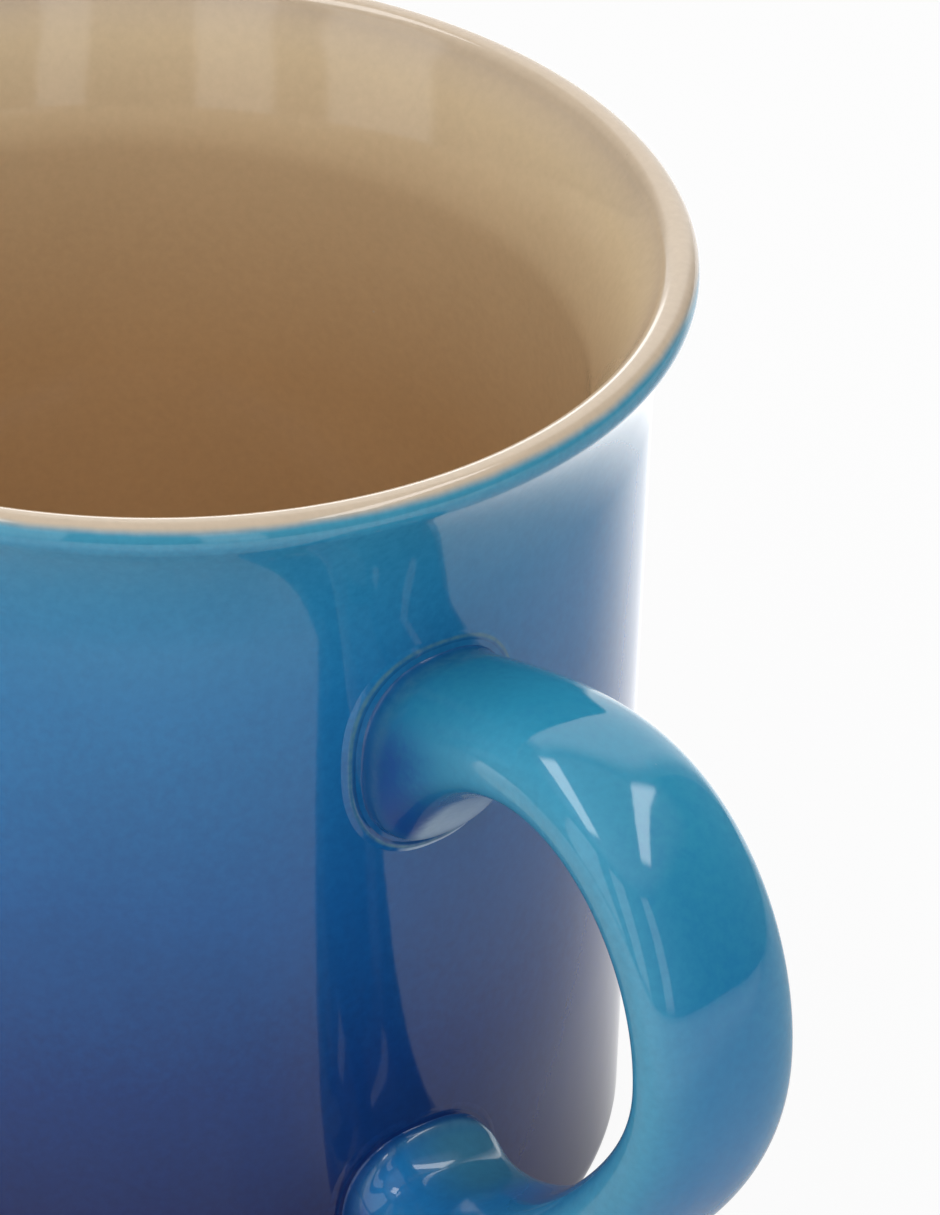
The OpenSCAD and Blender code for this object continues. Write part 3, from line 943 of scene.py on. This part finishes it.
def clay_material(name, pale, dark, rough):
    """Two clay tones mixed by the grain, iron specks, matt and slightly gritty."""
    material, tree, shader = new_material(name)
    grain = add(tree, "ShaderNodeGroup", node_tree=clay_grain).outputs
    colour = blend_colour(tree, remap(tree, grain["Tone"], *CLAY_TONES), dark, pale)
    colour = tint(tree, colour, grain["Iron"], IRON_MOST, IRON_BROWN)
    matt = remap(tree, grain["Tone"], *MATT_TONES, rough, rough + MATT_RISE)
    normal = bump(tree, grain["Height"], GRIT_BUMP, GRIT_DEPTH)
    feed(tree, shader, {"Base Color": colour, "Roughness": matt, "Normal": normal})
    return material


bare_clay = clay_material("bare_clay", CLAY_PALE, CLAY_DARK, CLAY_MATT)
fired_slip = clay_material("fired_slip", SLIP_PALE, SLIP_DARK, SLIP_MATT)
clay_cup.data.materials.append(bare_clay)
UNDER_COAT = {"handle": bare_clay, "upper_slip_joint": fired_slip, "lower_slip_joint": fired_slip}
for node, material in UNDER_COAT.items():
    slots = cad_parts[node].material_slots
    for slot in slots:
        slot.material = material
    print(node, "slots:", len(slots))

# %% [markdown]
# ## Camera
# The photograph looks down on the mug from its right front, close enough to cut
# off its left side. The camera stands 1.1 m away with a long lens; its axes come
# from the rim, the wall and the base in the picture, so the view isn't shifted.

# %% Camera
CAM_DISTANCE, AIM_Z = 1.1, 0.047
CAM_ELEVATION, CAM_TURN = math.radians(32.6292), math.radians(54)
CAM_PAN, CAM_TILT, CAM_ROLL = 0.0303071, -0.00889663, 0.01859315  # in radians
LENS, SENSOR = 331.04, 36.0  # in millimetres
CLIP_NEAR, CLIP_FAR = 0.05, 60.0


def spun(first, second, angle):
    """Two axes turned in their plane: a cosine share of each, plus and minus a sine share of the other."""
    c, s = math.cos(angle), math.sin(angle)
    return first * c + second * s, second * c - first * s


def camera_axes():
    """Right, up and backward axes: level at the mug, then panned, tilted, rolled and turned about Z."""
    c, s = np.cos(CAM_ELEVATION), np.sin(CAM_ELEVATION)
    right, up, ahead = np.array([1, 0, 0]), np.array([0, s, c]), np.array([0, c, -s])
    place = np.array([0, -CAM_DISTANCE * c, AIM_Z + CAM_DISTANCE * s])
    ahead, right = spun(ahead, right, CAM_PAN)
    up, ahead = spun(up, ahead, CAM_TILT)
    right, up = spun(right, up, CAM_ROLL)
    c, s = np.cos(CAM_TURN), np.sin(CAM_TURN)
    turn = np.array([[c, -s, 0], [s, c, 0], [0, 0, 1]])
    return turn @ np.stack([right, up, -ahead], axis=1), turn @ place


def stand(piece, axes, place):
    """Puts a camera or a lamp at a place, with its own axes as the columns of a matrix."""
    matrix = np.eye(4)
    matrix[:3, :3], matrix[:3, 3] = axes, place
    piece.matrix_world = Matrix(matrix.tolist())
    bpy.context.collection.objects.link(piece)


camera_data = bpy.data.cameras.new("camera")
camera_data.lens, camera_data.sensor_width = LENS, SENSOR
camera_data.clip_start, camera_data.clip_end = CLIP_NEAR, CLIP_FAR
camera = bpy.data.objects.new("camera", camera_data)
stand(camera, *camera_axes())
bpy.context.scene.camera = camera
VIEW_BACK = np.array([math.sin(CAM_TURN), -math.cos(CAM_TURN), 0])
VIEW_RIGHT = np.array([math.cos(CAM_TURN), math.sin(CAM_TURN), 0])
UP = np.array([0, 0, 1.0])
print("camera at", camera_axes()[1].round(4).tolist())

# %% [markdown]
# ## Paint for the floor and the backdrop
# The mug stands on a white table that runs up into a white backdrop behind it.
# The camera has to see both as white, and the glaze has to mirror them as they
# are lit in a studio: bright behind the mug, dark close before it and half lit
# farther out. Lighting them so with lamps would also bleach the mug. A Light
# Path node tells the two kinds of ray apart, so the paint glows evenly for one
# and by a map for the other.

# %% Paint for the floor and the backdrop
FLOOR_R = 4.0
# the table, in metres away from the camera: where its bright part starts and is full, and how bright it is
BEHIND_FROM, BEHIND_FULL, BEHIND_GLOW = -0.05, 0.07, 0.75
FRONT_FULL, FRONT_END, FRONT_GLOW = -0.23, -0.12, 0.3
SLANT_FROM = 0.07  # to the right of this the bright part's edge runs off slantwise
# the backdrop: where its light fades out, in metres to each side and upwards
SIDE_FULL, SIDE_END = FLOOR_R * math.sin(math.radians(25)), FLOOR_R * math.sin(math.radians(36))
TOP_FULL, TOP_END = 4.4, 6.4
# each paint: its grey, and the share of pure white that the camera sees on it
TABLE_TONE, TABLE_SEEN = 0.63, 0.93
BACKDROP_TONE, BACKDROP_SEEN = 0.88, 1.0


def along(tree, direction):
    """How far each place of a surface lies along a direction, in metres."""
    node = add(tree, "ShaderNodeVectorMath", {0: object_place(tree)}, operation="DOT_PRODUCT")
    node.inputs[1].default_value = direction
    return node.outputs["Value"]


def table_light(tree):
    """Soft steps along the view: the table is bright past the mug and well in front of its shadow."""
    away = along(tree, -VIEW_BACK)
    beside = math_node(tree, "SUBTRACT", along(tree, VIEW_RIGHT), SLANT_FROM)
    past = math_node(tree, "SUBTRACT", away, math_node(tree, "MAXIMUM", beside, 0.0))
    behind = remap(tree, past, BEHIND_FROM, BEHIND_FULL, 0.0, BEHIND_GLOW)
    return math_node(tree, "ADD", behind, remap(tree, away, FRONT_FULL, FRONT_END, FRONT_GLOW, 0.0))


def backdrop_light(tree):
    """A soft panel: full in the middle, fading out to both sides and to the top."""
    aside = math_node(tree, "ABSOLUTE", along(tree, VIEW_RIGHT))
    sides = remap(tree, aside, SIDE_FULL, SIDE_END, 1.0, 0.0)
    return math_node(tree, "MULTIPLY", sides, remap(tree, along(tree, UP), TOP_FULL, TOP_END, 1.0, 0.0))


def stage_material(name, paint_tone, seen_glow, mirrored_light):
    """Paint that also glows: evenly for camera rays, and as a light map for mirrored ones."""
    material, tree, _ = new_material(name)
    tree.nodes.clear()
    paint = add(tree, "ShaderNodeBsdfDiffuse", Color=(paint_tone, paint_tone, paint_tone, 1))
    light = add(tree, "ShaderNodeEmission", Color=(1, 1, 1, 1), Strength=1.0)
    path = add(tree, "ShaderNodeLightPath").outputs
    mirrored = math_node(tree, "MAXIMUM", path["Is Glossy Ray"], path["Is Transmission Ray"])
    strength = math_node(tree, "MULTIPLY", mirrored, mirrored_light(tree))
    mirrored_glow = add(tree, "ShaderNodeEmission", {"Strength": strength}, Color=(1, 1, 1, 1))
    shown = math_node(tree, "MULTIPLY", path["Is Camera Ray"], seen_glow)
    seen = add(tree, "ShaderNodeMixShader", {"Fac": shown, 1: paint.outputs[0], 2: light.outputs[0]})
    both = add(tree, "ShaderNodeAddShader", {0: seen.outputs[0], 1: mirrored_glow.outputs[0]})
    add(tree, "ShaderNodeOutputMaterial", {"Surface": both.outputs[0]})
    return material


white_table = stage_material("white_table", TABLE_TONE, TABLE_SEEN, table_light)
white_backdrop = stage_material("white_backdrop", BACKDROP_TONE, BACKDROP_SEEN, backdrop_light)
print("paints:", white_table.name, white_backdrop.name)

# %% [markdown]
# ## Floor and backdrop
# A wide disc and part of an upright cylinder are all the stage there is. The
# disc lies a hair below the standing ring, so that the two don't flicker.

# %% Floor and backdrop
TABLE_Z = -0.05 * MM
FLOOR_CAP_R, FLOOR_RINGS, FLOOR_TURNS = 0.02, 12, 96
BACKDROP_HALF, BACKDROP_H = math.radians(38), 6.6
BACKDROP_ROWS, BACKDROP_COLUMNS = 10, 64


def floor_points():
    """Rings round the axis: (r cos t, r sin t, the table's height)."""
    t = np.linspace(0, 2 * math.pi, FLOOR_TURNS, endpoint=False)
    r = np.linspace(FLOOR_CAP_R, FLOOR_R, FLOOR_RINGS)[:, None]
    return np.stack([r * np.cos(t), r * np.sin(t), TABLE_Z + 0 * r * t], axis=-1).reshape(-1, 3)


def backdrop_points():
    """Columns by the angle t about the axis behind the mug, rows by height: (R cos t, R sin t, z)."""
    behind = CAM_TURN + math.pi / 2
    t = np.linspace(behind - BACKDROP_HALF, behind + BACKDROP_HALF, BACKDROP_COLUMNS)
    z = np.linspace(0, BACKDROP_H, BACKDROP_ROWS)[:, None]
    x, y = FLOOR_R * np.cos(t), FLOOR_R * np.sin(t)
    return np.stack([x + 0 * z, y + 0 * z, z + 0 * t], axis=-1).reshape(-1, 3)


floor_cap = [list(range(FLOOR_TURNS))]
floor = new_mesh("floor", floor_points(), grid_faces(FLOOR_RINGS, FLOOR_TURNS, False).tolist() + floor_cap)
quads = grid_faces(BACKDROP_ROWS, BACKDROP_COLUMNS, False)
unclosed = quads[np.abs(quads[:, 1] - quads[:, 0]) == 1]
backdrop = new_mesh("backdrop", backdrop_points(), unclosed.tolist())
floor.data.materials.append(white_table)
backdrop.data.materials.append(white_backdrop)

# %% [markdown]
# ## Room
# The world shader is the rest of the room. It gives a mild even light to the
# colours and is white where the camera looks past the backdrop. For mirrored
# rays it is a dim wall that gets paler overhead, so the glaze stays deep.

# %% Room
AMBIENT, ROOM_GLOSS, CEILING_GLOSS = 0.42, 0.10, 0.55
CEILING_FROM, CEILING_FULL = 0.74, 0.88  # sines of the angles over the horizon
world = bpy.data.worlds.new("room")
bpy.context.scene.world = world
world.use_nodes = True
room = world.node_tree
room.nodes.clear()
path = add(room, "ShaderNodeLightPath").outputs
mirrored_room = remap(
    room, along(room, UP), CEILING_FROM, CEILING_FULL, ROOM_GLOSS - AMBIENT, CEILING_GLOSS - AMBIENT
)
dim = math_node(room, "MULTIPLY_ADD", path["Is Glossy Ray"], mirrored_room, AMBIENT)
strength = math_node(room, "MAXIMUM", dim, path["Is Camera Ray"])
sky = add(room, "ShaderNodeBackground", {"Strength": strength}, Color=(1, 1, 1, 1))
add(room, "ShaderNodeOutputWorld", {"Surface": sky.outputs[0]})
bpy.context.scene.view_settings.view_transform = "Standard"
print("room light:", AMBIENT)

# %% [markdown]
# ## Lamps
# A glossy coat is seen by what it mirrors, so each lamp is a soft box with a
# size and a place, and its power follows from how bright its mirror image is.
# Two strips overhead make the handle's bright stripes, three panels in front
# make the pale bars inside the cup, and a strip far behind draws the white line
# on the lip. The two keys only shape the light and aren't seen in the glaze.

# %% A soft box
STEEP = 0.9  # a lamp that looks down more steeply than this is squared up with the view


def around_mug(back, right, up):
    """A place in metres towards the camera, to the right and over the table."""
    return VIEW_BACK * back + VIEW_RIGHT * right + UP * up


def fade_edges(tree, soft):
    """Soft steps of the lamp's own two coordinates: it fades out over that share of its size."""
    spot = add(tree, "ShaderNodeSeparateXYZ", {0: add(tree, "ShaderNodeNewGeometry").outputs["Parametric"]})
    fades = []
    for axis in "XY":
        middle = math_node(tree, "ABSOLUTE", math_node(tree, "SUBTRACT", spot.outputs[axis], 0.5))
        fades.append(remap(tree, middle, 0.5 - soft, 0.5, 1.0, 0.0))
    feed(tree, tree.nodes["Emission"], {"Strength": math_node(tree, "MULTIPLY", *fades)})


def lamp(name, place, aim, size, radiance, soft, glossy=True):
    """A rectangular lamp at a place, aimed at a point; its power is radiance times pi times its area."""
    data = bpy.data.lights.new(name, "AREA")
    data.shape, data.size, data.size_y = "RECTANGLE", size[0], size[1]
    data.energy = radiance * math.pi * size[0] * size[1]
    if soft:
        data.use_nodes = True
        fade_edges(data.node_tree, soft)
    back = (place - aim) / np.linalg.norm(place - aim)
    side = np.cross(VIEW_BACK if abs(back[2]) > STEEP else UP, back)
    side /= np.linalg.norm(side)
    piece = bpy.data.objects.new(name, data)
    stand(piece, np.stack([side, np.cross(back, side), back], axis=1), place)
    piece.visible_glossy = glossy
    print(name, "power %.2f W" % data.energy)


# %% Strips overhead
STRIP_H, STRIP_RADIANCE, STRIP_SOFT = 1.2, 4.2, 0.12
# shares of the strips' height: their place towards the camera and their length, then place right and width
STRIP_BACK, STRIP_LONG = -0.04, 0.88
STRIPS = {"strip_left": (-0.335, 0.23), "strip_right": (0.427, 0.15)}
for name, (right, wide) in STRIPS.items():
    place = around_mug(STRIP_BACK * STRIP_H, right * STRIP_H, STRIP_H)
    size = (wide * STRIP_H, STRIP_LONG * STRIP_H)
    lamp(name, place, place - UP, size, STRIP_RADIANCE, STRIP_SOFT)

# %% Panels in front
PANEL_D, PANEL_RADIANCE, PANEL_SOFT = 1.3, 0.95, 0.1
PANEL_LOW, PANEL_HIGH = PANEL_D * math.tan(math.radians(1)), PANEL_D * math.tan(math.radians(50))
# degrees: the turn about Z, counted as the camera's is, and the angle that the panel spans
PANELS = {"panel_left": (-4.5, 30), "panel_middle": (31.5, 21), "panel_right": (73, 13)}
for name, (turn, wide) in PANELS.items():
    ahead = np.array([math.sin(math.radians(turn)), -math.cos(math.radians(turn)), 0])
    place = ahead * PANEL_D + UP * (PANEL_LOW + PANEL_HIGH) / 2
    size = (2 * PANEL_D * math.tan(math.radians(wide / 2)), PANEL_HIGH - PANEL_LOW)
    lamp(name, place, place - ahead, size, PANEL_RADIANCE, PANEL_SOFT)

# %% Keys and the strip behind
# place (towards the camera, right, up), height of the aim, size, radiance, soft edge, seen in the glaze
SOFT_BOXES = {
    "key": ((0.9, 0.1, 1.2), 0.06, (1.8, 1.5), 0.68, 0.0, False),
    "rear_key": ((-1.1, 0.0, 1.3), 0.05, (1.4, 1.0), 2.6, 0.0, False),
    "rim_strip": ((-3.0, -0.4, 0.65), 0.1, (1.3, 0.8), 2.4, 0.2, True),
}
for name, (place, aim_z, *box) in SOFT_BOXES.items():
    lamp(name, around_mug(*place), UP * aim_z, *box)
